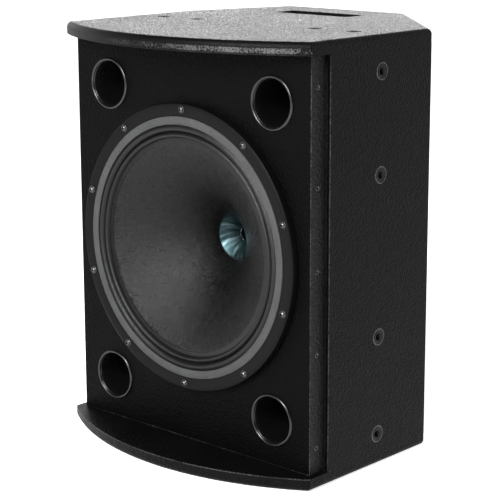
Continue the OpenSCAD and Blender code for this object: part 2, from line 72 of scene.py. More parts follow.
# ---------------------------------------------------------------- sizes, mm
lo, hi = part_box("front_baffle")
BF = lo.y / MM                                   # face of the baffle
BAFFLE_HALF = hi.x / MM
BAFFLE_BACK = hi.y / MM
lo_t, hi_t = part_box("top_panel")
HALF = hi_t.x / MM
FRONT_Y, BACK_Y = lo_t.y / MM, hi_t.y / MM
Z_TOP, Z1 = hi_t.z / MM, lo_t.z / MM
Z0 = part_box("bottom_panel")[1].z / MM
g_lo, g_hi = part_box("front_gasket")
AXIS_Z = (g_lo.z + g_hi.z) / 2 / MM
EAR_Y = BF - 11
SIDE_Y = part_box("right_side_panel")[1].y / MM
back_lo, back_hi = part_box("back_panel")
BACK_L, BACK_R = back_lo.x / MM, back_hi.x / MM
PLY = (back_hi.y - back_lo.y) / MM               # upright panels; the top and bottom ones are thicker
STEP_Y = BF + 27
bow_h = EAR_Y - FRONT_Y
BOW_R = (HALF * HALF + bow_h * bow_h) / (2 * bow_h)
BOW_Y = EAR_Y - bow_h + BOW_R
RIG_Z = (45, 185, 411, 551)
RIG_Y = BF + 133.5
RIG_X = (-182, -113, 113, 182)
GRILLE_Y = BF + 13.7
GRILLE_Z = (53.5, 183, 296.5, 408, 539.5)
PORTS = {"top_left": (-156, 217), "top_right": (156, 217), "bottom_left": (-156, -217), "bottom_right": (156, -217)}


# ---------------------------------------------------------------- mesh tools
def new_object(name, verts, faces, mat, sharp=35):
    me = bpy.data.meshes.new(name)
    me.from_pydata([tuple(c * MM for c in v) for v in verts], [], faces)
    me.validate()
    bm = bmesh.new()
    bm.from_mesh(me)
    bmesh.ops.recalc_face_normals(bm, faces=bm.faces)
    bm.to_mesh(me)
    bm.free()
    ob = bpy.data.objects.new(name, me)
    COLL.objects.link(ob)
    me.materials.append(mat)
    smooth(ob, sharp)
    return ob


def smooth(ob, sharp=35):
    me = ob.data
    me.polygons.foreach_set("use_smooth", [True] * len(me.polygons))
    me.set_sharp_from_angle(angle=math.radians(sharp))
    me.update()


def revolve(profile, n=96, a0=0.0, a1=360.0):
    """Closed profile of (radius, depth) turned about the local z axis; a part turn gets end caps."""
    full = abs(a1 - a0) >= 359.999
    steps = n if full else n + 1
    k = len(profile)
    verts, faces = [], []
    for i in range(steps):
        a = math.radians(a0 + (a1 - a0) * i / n)
        c, s = math.cos(a), math.sin(a)
        verts += [(r * c, r * s, z) for r, z in profile]
    for i in range(n):
        j = (i + 1) % steps
        for m in range(k):
            q = (m + 1) % k
            if profile[m][0] < 1e-6 and profile[q][0] < 1e-6:
                continue
            faces.append((i * k + m, i * k + q, j * k + q, j * k + m))
    if not full:
        faces.append(tuple(range(k)))
        faces.append(tuple(n * k + m for m in reversed(range(k))))
    return verts, faces


def join(parts):
    """Several (verts, faces) as one."""
    verts, faces = [], []
    for v, f in parts:
        o = len(verts)
        verts += list(v)
        faces += [tuple(i + o for i in t) for t in f]
    return verts, faces


def moved(part, fn):
    v, f = part
    return [fn(p) for p in v], f


def to_driver(p):
    return (p[0], BF + p[2], AXIS_Z - p[1])


def to_port(px, pz):
    return lambda p: (p[0] + px, BF + p[2], AXIS_Z + pz - p[1])


def out_of(axis, pos):
    """Local +z points out of the surface at pos."""
    x, y, z = pos
    if axis == "+x":
        return lambda p: (x + p[2], y + p[0], z + p[1])
    if axis == "-x":
        return lambda p: (x - p[2], y - p[0], z + p[1])
    if axis == "+z":
        return lambda p: (x + p[0], y + p[1], z + p[2])
    if axis == "-z":
        return lambda p: (x + p[0], y - p[1], z - p[2])
    if axis == "+y":
        return lambda p: (x - p[0], y + p[2], z + p[1])
    return lambda p: (x + p[0], y - p[2], z + p[1])


def arc(cx, cz, r, a0, a1, n=6):
    return [(cx + r * math.cos(math.radians(a0 + (a1 - a0) * i / n)), cz + r * math.sin(math.radians(a0 + (a1 - a0) * i / n))) for i in range(n + 1)]


def welded(ob, dist=1e-6):
    bm = bmesh.new()
    bm.from_mesh(ob.data)
    bmesh.ops.remove_doubles(bm, verts=bm.verts, dist=dist)
    bmesh.ops.dissolve_degenerate(bm, edges=bm.edges, dist=dist)
    bmesh.ops.recalc_face_normals(bm, faces=bm.faces)
    bm.to_mesh(ob.data)
    bm.free()


def piece(name, part, mat, body="cabinet", node=None, sharp=35, weld=True):
    ob = new_object(name, part[0], part[1], mat, sharp)
    if weld:
        welded(ob)
        smooth(ob, sharp)
    if body:
        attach(ob, body)
    if node:
        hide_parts(*([node] if isinstance(node, str) else node))
    return ob


def weighted(ob):
    m = ob.modifiers.new("normals", "WEIGHTED_NORMAL")
    m.keep_sharp = True
    m.weight = 100


def prism(points, z0, z1):
    n = len(points)
    verts = [(x, y, z0) for x, y in points] + [(x, y, z1) for x, y in points]
    faces = [tuple(reversed(range(n))), tuple(range(n, 2 * n))]
    faces += [(i, (i + 1) % n, n + (i + 1) % n, n + i) for i in range(n)]
    return verts, faces


def bevel_edges(ob, pick, width, segs):
    bm = bmesh.new()
    bm.from_mesh(ob.data)
    edges = [e for e in bm.edges if pick(e)]
    bmesh.ops.bevel(bm, geom=edges, offset=width * MM, segments=segs, profile=0.5, affect="EDGES", clamp_overlap=True, offset_type="OFFSET")
    bmesh.ops.recalc_face_normals(bm, faces=bm.faces)
    bm.to_mesh(ob.data)
    bm.free()


def cut(ob, cutters):
    """Takes the cutters, lists of (verts, faces) in mm, out of ob."""
    made = []
    for part in cutters:
        c = new_object("cutter", part[0], part[1], ob.data.materials[0])
        welded(c)
        made.append(c)
        m = ob.modifiers.new("cut", "BOOLEAN")
        m.operation, m.solver, m.object = "DIFFERENCE", "EXACT", c
    dg = bpy.context.evaluated_depsgraph_get()
    dg.update()
    me = bpy.data.meshes.new_from_object(ob.evaluated_get(dg))
    ob.modifiers.clear()
    old = ob.data
    ob.data = me
    bpy.data.meshes.remove(old)
    for c in made:
        bpy.data.objects.remove(c)


def cyl(r, z0, z1, n=64):
    return revolve([(0, z0), (r, z0), (r, z1), (0, z1)], n)


def rounded_rect(cx, cy, w, h, r, n=5):
    pts = []
    for sx, sy, a in ((1, 1, 0), (-1, 1, 90), (-1, -1, 180), (1, -1, 270)):
        pts += arc(cx + sx * (w / 2 - r), cy + sy * (h / 2 - r), r, a, a + 90, n)
    return pts


# ---------------------------------------------------------------- materials
def material(name, build):
    m = bpy.data.materials.new(name)
    m.use_nodes = True
    nt = m.node_tree
    nt.nodes.clear()
    out = nt.nodes.new("ShaderNodeOutputMaterial")
    bs = nt.nodes.new("ShaderNodeBsdfPrincipled")
    nt.links.new(bs.outputs["BSDF"], out.inputs["Surface"])
    build(nt, bs)
    return m


def node(nt, kind, **values):
    n = nt.nodes.new(kind)
    for k, v in values.items():
        if hasattr(n, k) and k not in n.inputs:
            setattr(n, k, v)
        else:
            n.inputs[k].default_value = v
    return n


def coords(nt):
    return nt.nodes.new("ShaderNodeTexCoord").outputs["Object"]


def noise(nt, vec, scale, detail=3.0, rough=0.55, distortion=0.0):
    n = nt.nodes.new("ShaderNodeTexNoise")
    n.inputs["Scale"].default_value = scale
    n.inputs["Detail"].default_value = detail
    n.inputs["Roughness"].default_value = rough
    n.inputs["Distortion"].default_value = distortion
    nt.links.new(vec, n.inputs["Vector"])
    return n.outputs["Fac"]


def voronoi(nt, vec, scale, feature="F1"):
    n = nt.nodes.new("ShaderNodeTexVoronoi")
    n.feature = feature
    n.inputs["Scale"].default_value = scale
    nt.links.new(vec, n.inputs["Vector"])
    return n.outputs["Distance"]


def ramp(nt, fac, stops):
    n = nt.nodes.new("ShaderNodeValToRGB")
    el = n.color_ramp.elements
    el.remove(el[-1])
    for i, (p, c) in enumerate(stops):
        e = el.new(p) if i else el[0]
        e.position = p
        e.color = (c, c, c, 1) if isinstance(c, (int, float)) else (*c, 1)
    nt.links.new(fac, n.inputs["Fac"])
    return n.outputs["Color"]


def math_node(nt, op, a, b=None, clamp=False):
    n = nt.nodes.new("ShaderNodeMath")
    n.operation = op
    n.use_clamp = clamp
    for i, v in enumerate((a, b)):
        if v is None:
            continue
        if isinstance(v, (int, float)):
            n.inputs[i].default_value = v
        else:
            nt.links.new(v, n.inputs[i])
    return n.outputs[0]


def mixed(nt, fac, a, b):
    n = nt.nodes.new("ShaderNodeMix")
    n.data_type = "RGBA"
    for i, v in ((0, fac), (6, a), (7, b)):
        if isinstance(v, (int, float)):
            n.inputs[i].default_value = v
        elif isinstance(v, tuple):
            n.inputs[i].default_value = (*v, 1)
        else:
            nt.links.new(v, n.inputs[i])
    return n.outputs[2]


def bump(nt, bs, height, dist, strength=1.0, base=None):
    n = nt.nodes.new("ShaderNodeBump")
    n.inputs["Strength"].default_value = strength
    n.inputs["Distance"].default_value = dist
    nt.links.new(height, n.inputs["Height"])
    if base is not None:
        nt.links.new(base, n.inputs["Normal"])
    nt.links.new(n.outputs["Normal"], bs.inputs["Normal"])
    return n.outputs["Normal"]


def textured_paint(name, col, rough, grain_h, scale=1.0, spec=0.5, speckle=0.0):
    """Sprayed water-based texture paint: fine pebbles with smoother patches between."""
    def build(nt, bs):
        co = coords(nt)
        pebble = voronoi(nt, co, 420 * scale, "SMOOTH_F1")
        fine = noise(nt, co, 900 * scale, 2.0, 0.6)
        broad = noise(nt, co, 9, 4.0, 0.6)
        mid = noise(nt, co, 160 * scale, 3.0, 0.6)
        h = math_node(nt, "ADD", math_node(nt, "MULTIPLY", pebble, 1.1), math_node(nt, "MULTIPLY", fine, 0.6))
        h = math_node(nt, "ADD", h, math_node(nt, "MULTIPLY", mid, 0.5))
        bump(nt, bs, h, grain_h * MM)
        lo_c = tuple(c * 0.72 for c in col)
        hi_c = tuple(c * 1.35 for c in col)
        nt.links.new(mixed(nt, ramp(nt, math_node(nt, "ADD", math_node(nt, "MULTIPLY", fine, 0.5), math_node(nt, "MULTIPLY", broad, 0.5)), [(0.35, 0.0), (0.65, 1.0)]), lo_c, hi_c), bs.inputs["Base Color"])
        r = ramp(nt, math_node(nt, "ADD", math_node(nt, "MULTIPLY", mid, 0.6), math_node(nt, "MULTIPLY", broad, 0.4)), [(0.3, rough - 0.07), (0.7, rough + 0.09)])
        if speckle:
            dots = noise(nt, co, 330, 2.0, 0.6)
            r = math_node(nt, "SUBTRACT", math_node(nt, "ADD", r, ramp(nt, dots, [(0.42, 0.0), (0.58, 2 * speckle)])), speckle)
        nt.links.new(r, bs.inputs["Roughness"])
        bs.inputs["Specular IOR Level"].default_value = spec
    return material(name, build)


PAINT = textured_paint("texture_paint", (0.0022, 0.0022, 0.0023), 0.38, 1.25, 1.0, 0.038)
# The top copy has a lighter base colour than the walls' paint: painted light on the upward face.
PAINT_TOP_LIT = textured_paint("top_lit_paint", (0.0065, 0.0065, 0.0067), 0.36, 2.5, 0.85, 0.29, 0.16)
# The baffle copy has a darker base colour than the walls' paint: painted shade under the top deck's overhang.
PAINT_BAFFLE_SHADED = textured_paint("baffle_shaded_paint", (0.0008, 0.0008, 0.00085), 0.44, 0.9, 0.9, 0.032)
# The rebate copy has a lighter base colour than the walls' paint: painted light on the strips beside the baffle.
PAINT_REBATE_LIT = textured_paint("rebate_lit_paint", (0.0062, 0.0062, 0.0064), 0.46, 1.3, 0.8, 0.16)


def edge_highlight_paint(name, low, high, specks, by_height=None):
    """Texture paint on an edge with a painted highlight in lighter specks; by_height gives (height in m, lightness)
    stops for a painted highlight band.
    """
    def build(nt, bs):
        co = coords(nt)
        pebble = voronoi(nt, co, 520, "SMOOTH_F1")
        fine = noise(nt, co, 420, 2.0, 0.6)
        broad = noise(nt, co, 26, 3.0, 0.6)
        m = math_node(nt, "ADD", math_node(nt, "MULTIPLY", fine, 0.62), math_node(nt, "MULTIPLY", broad, 0.38))
        highlight_speck = ramp(nt, m, [(0.5 - specks, 0.0), (0.5 + 0.08, 1.0)])
        if by_height:
            s = nt.nodes.new("ShaderNodeSeparateXYZ")
            nt.links.new(co, s.inputs[0])
            wobble = math_node(nt, "MULTIPLY", math_node(nt, "SUBTRACT", noise(nt, co, 240, 2.0), 0.5), 0.0016)
            z = math_node(nt, "MULTIPLY", math_node(nt, "SUBTRACT", math_node(nt, "ADD", s.outputs["Z"], wobble), by_height[0][0]), 1.0 / (by_height[-1][0] - by_height[0][0]), True)
            span = by_height[-1][0] - by_height[0][0]
            highlight_band = ramp(nt, z, [((h - by_height[0][0]) / span, v) for h, v in by_height])
            # painted light: the specks grow brighter towards +x, where the key lamp falls on the edge
            along = ramp(nt, math_node(nt, "MULTIPLY", math_node(nt, "ADD", s.outputs["X"], 0.23), 1 / 0.46, True), [(0.0, 0.05), (0.3, 0.10), (0.45, 0.32), (0.7, 0.85), (0.85, 1.0)])
            highlight_speck = math_node(nt, "MULTIPLY", highlight_speck, math_node(nt, "MULTIPLY", highlight_band, along))
        nt.links.new(mixed(nt, highlight_speck, low, high), bs.inputs["Base Color"])
        h = math_node(nt, "ADD", math_node(nt, "MULTIPLY", pebble, 1.1), math_node(nt, "MULTIPLY", fine, 0.9))
        bump(nt, bs, h, 0.42 * MM)
        bs.inputs["Roughness"].default_value = 0.46
        bs.inputs["Specular IOR Level"].default_value = 0.06
    return material(name, build)


# Top deck's front edge: a painted highlight band from 3.4 to 8.8 mm above the deck's underside, a fainter painted line
# at 1 mm, and darker paint between and above.
FRONT_EDGE_HIGHLIGHT = edge_highlight_paint("front_edge_painted_highlight", (0.0012, 0.0012, 0.0013), (0.062, 0.062, 0.063), 0.06,
                          [(Z1 * MM - 0.0003, 0.05), (Z1 * MM + 0.0010, 0.22), (Z1 * MM + 0.0022, 0.04), (Z1 * MM + 0.0034, 1.0), (Z1 * MM + 0.0088, 1.0), (Z1 * MM + 0.0098, 0.02), (Z_TOP * MM, 0.0)])
# The arrises and the baffle's bottom fillet get speckled paint with a painted highlight; the fillet's highlight is
# fainter.
FILLET_HIGHLIGHT = edge_highlight_paint("fillet_highlight_paint", (0.0015, 0.0015, 0.0016), (0.016, 0.016, 0.0163), -0.02)
ARRIS_HIGHLIGHT = edge_highlight_paint("arris_highlight_paint", (0.007, 0.007, 0.0072), (0.034, 0.034, 0.035), 0.05)


def plain(name, col, rough, metal=0.0, scale=300, grain=0.15, var=0.18, spec=0.5, coat=0.0):
    def build(nt, bs):
        co = coords(nt)
        f = noise(nt, co, scale, 4.0, 0.6)
        b = noise(nt, co, 14, 3.0, 0.6)
        m = math_node(nt, "ADD", math_node(nt, "MULTIPLY", f, 0.6), math_node(nt, "MULTIPLY", b, 0.4))
        nt.links.new(mixed(nt, ramp(nt, m, [(0.3, 0.0), (0.7, 1.0)]), tuple(c * (1 - var) for c in col), tuple(min(1, c * (1 + var)) for c in col)), bs.inputs["Base Color"])
        nt.links.new(ramp(nt, m, [(0.3, max(0.02, rough - 0.06)), (0.7, min(1, rough + 0.06))]), bs.inputs["Roughness"])
        bs.inputs["Metallic"].default_value = metal
        bs.inputs["Specular IOR Level"].default_value = spec
        if coat:
            bs.inputs["Coat Weight"].default_value = coat
            bs.inputs["Coat Roughness"].default_value = 0.25
        bump(nt, bs, f, grain * MM)
    return material(name, build)


def polar(nt):
    """Radius in m and angle in turns about the driver's axis."""
    co = coords(nt)
    s = nt.nodes.new("ShaderNodeSeparateXYZ")
    nt.links.new(co, s.inputs[0])
    x = s.outputs["X"]
    z = math_node(nt, "SUBTRACT", s.outputs["Z"], AXIS_Z * MM)
    r = math_node(nt, "SQRT", math_node(nt, "ADD", math_node(nt, "MULTIPLY", x, x), math_node(nt, "MULTIPLY", z, z)))
    a = math_node(nt, "ARCTAN2", z, x)
    return co, r, a, s


def combine(nt, x, y, z):
    n = nt.nodes.new("ShaderNodeCombineXYZ")
    for i, v in enumerate((x, y, z)):
        if isinstance(v, (int, float)):
            n.inputs[i].default_value = v
        else:
            nt.links.new(v, n.inputs[i])
    return n.outputs[0]


def paper(nt, bs):
    co, r, a, s = polar(nt)
    # stretched fibres that run outward, on a cylinder of directions so that there is no seam
    unit = combine(nt, math_node(nt, "MULTIPLY", math_node(nt, "COSINE", a), 26.0), math_node(nt, "MULTIPLY", math_node(nt, "SINE", a), 26.0), math_node(nt, "MULTIPLY", r, 95.0))
    fibre = noise(nt, unit, 2.2, 5.0, 0.62, 0.6)
    felt = noise(nt, co, 170, 5.0, 0.72, 0.8)
    fuzz = noise(nt, co, 800, 2.0, 0.6)
    cloud = noise(nt, co, 22, 4.0, 0.6)
    h = math_node(nt, "ADD", math_node(nt, "MULTIPLY", fibre, 0.9), math_node(nt, "MULTIPLY", felt, 1.3))
    h = math_node(nt, "ADD", h, math_node(nt, "MULTIPLY", fuzz, 0.25))
    h = math_node(nt, "ADD", h, math_node(nt, "MULTIPLY", noise(nt, co, 95, 2.0, 0.5, 1.2), 1.1))
    bump(nt, bs, h, 0.8 * MM)
    m = math_node(nt, "ADD", math_node(nt, "MULTIPLY", fibre, 0.4), math_node(nt, "MULTIPLY", felt, 0.35))
    m = math_node(nt, "ADD", m, math_node(nt, "MULTIPLY", cloud, 0.25))
    nt.links.new(mixed(nt, ramp(nt, m, [(0.36, 0.0), (0.64, 1.0)]), (0.0008, 0.0008, 0.0009), (0.0060, 0.0060, 0.0059)), bs.inputs["Base Color"])
    nt.links.new(ramp(nt, m, [(0.38, 0.20), (0.62, 0.38)]), bs.inputs["Roughness"])
    bs.inputs["Specular IOR Level"].default_value = 0.17


PAPER = material("cone_paper", paper)


def cloth(nt, bs):
    co, r, a, s = polar(nt)
    # woven threads: one family along the radius, one around
    thread_a = math_node(nt, "SINE", math_node(nt, "MULTIPLY", a, 520.0))
    thread_r = math_node(nt, "SINE", math_node(nt, "MULTIPLY", r, 3600.0))
    weave = math_node(nt, "MULTIPLY", thread_a, thread_r)
    f = noise(nt, co, 500, 3.0, 0.6)
    h = math_node(nt, "ADD", math_node(nt, "MULTIPLY", weave, 0.35), f)
    bump(nt, bs, h, 0.25 * MM)
    nt.links.new(mixed(nt, ramp(nt, f, [(0.35, 0.0), (0.65, 1.0)]), (0.0022, 0.0022, 0.0023), (0.0055, 0.0055, 0.0055)), bs.inputs["Base Color"])
    bs.inputs["Roughness"].default_value = 0.33
    bs.inputs["Specular IOR Level"].default_value = 0.22


CLOTH = material("surround_cloth", cloth)


def gasket(nt, bs):
    co = coords(nt)
    f = noise(nt, co, 700, 4.0, 0.7)
    b = noise(nt, co, 30, 3.0, 0.6)
    m = math_node(nt, "ADD", math_node(nt, "MULTIPLY", f, 0.75), math_node(nt, "MULTIPLY", b, 0.25))
    nt.links.new(mixed(nt, ramp(nt, m, [(0.35, 0.0), (0.65, 1.0)]), (0.0075, 0.0077, 0.0080), (0.036, 0.0366, 0.0377)), bs.inputs["Base Color"])
    bs.inputs["Roughness"].default_value = 0.8
    bump(nt, bs, f, 0.35 * MM)


GASKET = material("gasket_foam", gasket)


def teal_metal(nt, bs):
    co, r, a, s = polar(nt)
    # blue-green cast metal with pale streaks of painted reflection that wind from the mouth to the throat
    turn = math_node(nt, "SUBTRACT", a, math_node(nt, "MULTIPLY", r, 16.0))
    unit = combine(nt, math_node(nt, "MULTIPLY", math_node(nt, "COSINE", turn), 2.6), math_node(nt, "MULTIPLY", math_node(nt, "SINE", turn), 2.6), math_node(nt, "MULTIPLY", r, 20.0))
    painted_streak = ramp(nt, noise(nt, unit, 2.0, 3.0, 0.6), [(0.44, 0.0), (0.54, 0.16), (0.62, 0.5), (0.70, 1.0)])
    cloud = noise(nt, co, 90, 3.0, 0.5)
    dark = mixed(nt, cloud, (0.008, 0.018, 0.0205), (0.024, 0.046, 0.051))
    nt.links.new(mixed(nt, painted_streak, dark, (0.105, 0.150, 0.157)), bs.inputs["Base Color"])
    lines = noise(nt, combine(nt, math_node(nt, "MULTIPLY", s.outputs["Y"], 1400.0), math_node(nt, "MULTIPLY", r, 900.0), 0.0), 1.0, 3.0, 0.6)
    nt.links.new(ramp(nt, lines, [(0.3, 0.36), (0.7, 0.50)]), bs.inputs["Roughness"])
    bs.inputs["Metallic"].default_value = 1.0
    bump(nt, bs, lines, 0.02 * MM, 0.6)


TEAL = material("guide_metal", teal_metal)
POWDER = plain("frame_powder_coat", (0.0022, 0.0022, 0.0023), 0.42, 0.0, 700, 0.22, 0.2, 0.07)
PLASTIC = plain("port_plastic", (0.003, 0.003, 0.0031), 0.24, 0.0, 520, 0.05, 0.2, 0.42)
# painted shade for the screws' hex sockets
SOCKET_SHADE = plain("socket_painted_shade", (0.004, 0.004, 0.004), 0.8, 0.0, 300, 0.1, 0.2, 0.2)
SCREW = plain("black_screw", (0.06, 0.06, 0.061), 0.28, 0.8, 400, 0.04, 0.15)
SMALL_INSERT = plain("small_insert_finish", (0.07, 0.07, 0.071), 0.34, 0.6, 500, 0.05, 0.2)
# lighter finish for the rims of inserts and washers: a painted highlight
RIM_HIGHLIGHT = plain("insert_rim_highlight", (0.085, 0.085, 0.086), 0.28, 0.5, 500, 0.05, 0.3)
INSERT = plain("insert_finish", (0.0045, 0.0045, 0.0046), 0.40, 0.0, 700, 0.3, 0.2, 0.12)
STEEL = plain("plated_steel", (0.55, 0.56, 0.58), 0.3, 1.0, 250, 0.05, 0.12)
BRASS = plain("brass", (0.12, 0.10, 0.07), 0.35, 0.9, 250, 0.05, 0.12)
COPPER = plain("enamelled_wire", (0.6, 0.28, 0.12), 0.3, 0.9, 1200, 0.25, 0.2)
FERRITE = plain("ferrite", (0.05, 0.05, 0.055), 0.6, 0.2, 350, 0.2, 0.2)
BARE_PLY = plain("bare_ply", (0.5, 0.36, 0.2), 0.65, 0.0, 60, 0.1, 0.2)
FILM = plain("former_film", (0.02, 0.02, 0.02), 0.35, 0.0, 200, 0.02, 0.1)
RED_PLASTIC = plain("terminal_plastic", (0.35, 0.03, 0.02), 0.4, 0.0, 300, 0.05, 0.1)
BOARD = plain("board_laminate", (0.02, 0.13, 0.05), 0.4, 0.0, 500, 0.06, 0.15, 0.5, 0.3)
YELLOW = plain("capacitor_film", (0.6, 0.42, 0.03), 0.3, 0.0, 200, 0.02, 0.1, 0.5, 0.4)
CERAMIC = plain("resistor_ceramic", (0.72, 0.70, 0.65), 0.75, 0.0, 400, 0.15, 0.08)
WOOL = plain("lining_wool", (0.28, 0.28, 0.26), 0.95, 0.0, 120, 2.0, 0.3)
RUBBER = plain("cable_sheath", (0.02, 0.02, 0.02), 0.55, 0.0, 500, 0.06, 0.15)
DISH = plain("dish_powder_coat", (0.016, 0.016, 0.0165), 0.5, 0.0, 650, 0.2, 0.2)

SLOT_MATERIAL = {
    "painted_ply": PAINT, "bare_ply": BARE_PLY, "moulded_plastic": PLASTIC, "cast_frame": POWDER, "gasket_foam": GASKET,
    "surround_cloth": CLOTH, "cone_paper": PAPER, "coil_former_film": FILM, "copper": COPPER, "guide_metal": TEAL,
    "plated_steel": STEEL, "ferrite": FERRITE, "black_screws": SCREW, "terminal_plastic": RED_PLASTIC, "board_laminate": BOARD,
    "capacitor_film": YELLOW, "resistor_ceramic": CERAMIC, "pressed_dish": DISH, "brass_inserts": BRASS, "lining_wool": WOOL,
    "cable_sheath": RUBBER}
for row in frame["record"]["subparts"]:
    ob = NODES[row["node"]]
    ob.data.materials.clear()
    ob.data.materials.append(SLOT_MATERIAL[row["material_slot"]])


SOCKET = plain("socket_moulding", (0.0035, 0.0035, 0.0036), 0.34, 0.0, 500, 0.06, 0.2, 0.16)
CORE = plain("socket_core", (0.020, 0.055, 0.16), 0.36, 0.0, 400, 0.05, 0.15, 0.45)
KNOB = plain("knob_plastic", (0.0030, 0.0030, 0.0031), 0.30, 0.0, 600, 0.05, 0.2, 0.22)
for name, mat in (("input_sockets", SOCKET), ("socket_cores", CORE), ("mode_switch_knob", KNOB), ("dish_screws", SCREW)):
    NODES[name].data.materials.clear()
    NODES[name].data.materials.append(mat)


# ---------------------------------------------------------------- woodwork
def line_hit(p, u, q, v):
    k = ((q[0] - p[0]) * v[1] - (q[1] - p[1]) * v[0]) / (u[0] * v[1] - u[1] * v[0])
    return (p[0] + k * u[0], p[1] + k * u[1])


def wall_corners(d):
    rd, ld = (BACK_R - HALF, BACK_Y - SIDE_OUT_Y), (-HALF - BACK_L, SIDE_OUT_Y - BACK_Y)
    rn, ln = math.hypot(*rd), math.hypot(*ld)
    ri, li = (-rd[1] / rn, rd[0] / rn), (-ld[1] / ln, ld[0] / ln)
    a, f, c = (HALF - d, 0), (-HALF + d, 0), (0, BACK_Y - d)
    b = (HALF + ri[0] * d, SIDE_OUT_Y + ri[1] * d)
    e = (BACK_L + li[0] * d, BACK_Y + li[1] * d)
    return [line_hit(a, (0, 1), b, rd), line_hit(b, rd, c, (1, 0)), line_hit(c, (1, 0), e, ld), line_hit(e, ld, f, (0, 1))]


SIDE_OUT_Y = BF + 242
WO, WI = wall_corners(0), wall_corners(PLY)
BOW_N = 96
TH = math.asin(HALF / BOW_R)
BOW = [(BOW_R * math.sin(-TH + 2 * TH * i / BOW_N), BOW_Y - BOW_R * math.cos(-TH + 2 * TH * i / BOW_N)) for i in range(BOW_N + 1)]
OUTLINE = BOW + WO


def deck_loop(inset, lip=0.0, r=3.5, segs=5):
    """The deck's outline drawn in by inset; the front edge may be drawn in by lip more."""
    rad = BOW_R - inset - lip
    half = HALF - inset
    y_end = BOW_Y - math.sqrt(rad * rad - half * half)
    th = math.asin(half / rad)
    bow = [(rad * math.sin(-th + 2 * th * i / BOW_N), BOW_Y - rad * math.cos(-th + 2 * th * i / BOW_N)) for i in range(BOW_N + 1)]
    pts = bow + list(wall_corners(inset))
    n = len(pts)
    re = max(r - inset, 0.05)
    out = []
    for i, (px, py) in enumerate(pts):
        if 0 < i < BOW_N:
            out.append((px, py))
            continue
        ax, ay = pts[i - 1][0] - px, pts[i - 1][1] - py
        bx_, by_ = pts[(i + 1) % n][0] - px, pts[(i + 1) % n][1] - py
        la, lb = math.hypot(ax, ay), math.hypot(bx_, by_)
        ax, ay, bx_, by_ = ax / la, ay / la, bx_ / lb, by_ / lb
        half_angle = math.acos(max(-1, min(1, ax * bx_ + ay * by_))) / 2
        mx, my = ax + bx_, ay + by_
        lm = math.hypot(mx, my)
        cx, cy = px + mx / lm * re / math.sin(half_angle), py + my / lm * re / math.sin(half_angle)
        t = re / math.tan(half_angle)
        a0 = math.atan2(py + ay * t - cy, px + ax * t - cx)
        a1 = math.atan2(py + by_ * t - cy, px + bx_ * t - cx)
        d = (a1 - a0 + math.pi) % (2 * math.pi) - math.pi
        out += [(cx + re * math.cos(a0 + d * k / segs), cy + re * math.sin(a0 + d * k / segs)) for k in range(segs + 1)]
    return out


def deck(name, z_in, z_out, cutters, node_name):
    """A horizontal panel. Its outer arris, at z_out, is rounded over by 7.8 mm, its inner front arris by 1.2 mm."""
    up = 1 if z_out > z_in else -1
    layers = [(z_in + up * 1.2 * (1 - math.sin(math.radians(90 - t))), 0.0, 1.2 * (1 - math.sin(math.radians(t)))) for t in (0, 30, 60, 90)]
    layers += [(z_in + up * 5, 0.0, 0.0)]
    layers += [(z_out - up * 7.8 * (1 - math.sin(math.radians(t))), 7.8 * (1 - math.cos(math.radians(t))), 0.0) for t in range(0, 91, 9)]
    verts, faces = [], []
    for z, inset, lip in layers:
        loop = deck_loop(inset, lip)
        k = len(loop)
        verts += [(x, y, z) for x, y in loop]
    for m in range(len(layers) - 1):
        for i in range(k):
            j = (i + 1) % k
            faces.append((m * k + i, m * k + j, (m + 1) * k + j, (m + 1) * k + i))
    faces.append(tuple(reversed(range(k))))
    faces.append(tuple((len(layers) - 1) * k + i for i in range(k)))
    ob = new_object(name, verts, faces, PAINT)
    cut(ob, cutters)
    smooth(ob, 40)
    weighted(ob)
    if z_out > z_in:
        ob.data.materials.append(PAINT_TOP_LIT)
        ob.data.materials.append(FRONT_EDGE_HIGHLIGHT)
        # The upward face gets the lighter top copy of the paint, which is painted light.
        for f in ob.data.polygons:
            if f.normal.z > 0.97:
                f.material_index = 1
            # The front of the round-over and the front edge get the painted highlight band.
            elif f.normal.y < -0.15 and f.center.y < EAR_Y * MM + 0.004:
                f.material_index = 2
    else:
        ob.data.materials.append(ARRIS_HIGHLIGHT)
        # The front round-over of the bottom deck gets the arris paint with its painted highlight.
        for f in ob.data.polygons:
            if 0.15 < f.normal.z < 0.97 and f.normal.y < -0.15 and f.center.y < EAR_Y * MM + 0.004:
                f.material_index = 1
    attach(ob, "cabinet")
    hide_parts(node_name)
    return ob


HX0, HX1, HY0, HY1 = -109, 29, BF + 306, BF + 345


def slot_cutter(x0, x1, y0, y1, r, z0, z1, flare, n=8):
    """A rounded slot whose top edge opens out with a radius."""
    rings = []
    for k in range(n + 1):
        a = math.radians(90 * k / n)
        rings.append((flare * (1 - math.cos(a)), z1 - flare + flare * math.sin(a)))
    levels = [(0, z0), *rings, (rings[-1][0], z1 + 3)]
    verts, faces, m = [], [], None
    for off, z in levels:
        ring = rounded_rect((x0 + x1) / 2, (y0 + y1) / 2, x1 - x0 + 2 * off, y1 - y0 + 2 * off, r + off, 6)
        m = len(ring)
        verts += [(x, y, z) for x, y in ring]
    for i in range(len(levels) - 1):
        for j in range(m):
            q = (j + 1) % m
            faces.append((i * m + j, i * m + q, (i + 1) * m + q, (i + 1) * m + j))
    faces.append(tuple(reversed(range(m))))
    faces.append(tuple((len(levels) - 1) * m + j for j in range(m)))
    return verts, faces


def seat_cutters(axis, pos):
    f = out_of(axis, pos)
    return [moved(cyl(12.15, -2.0, 3, 48), f), moved(cyl(8.1, -24, 1, 48), f)]


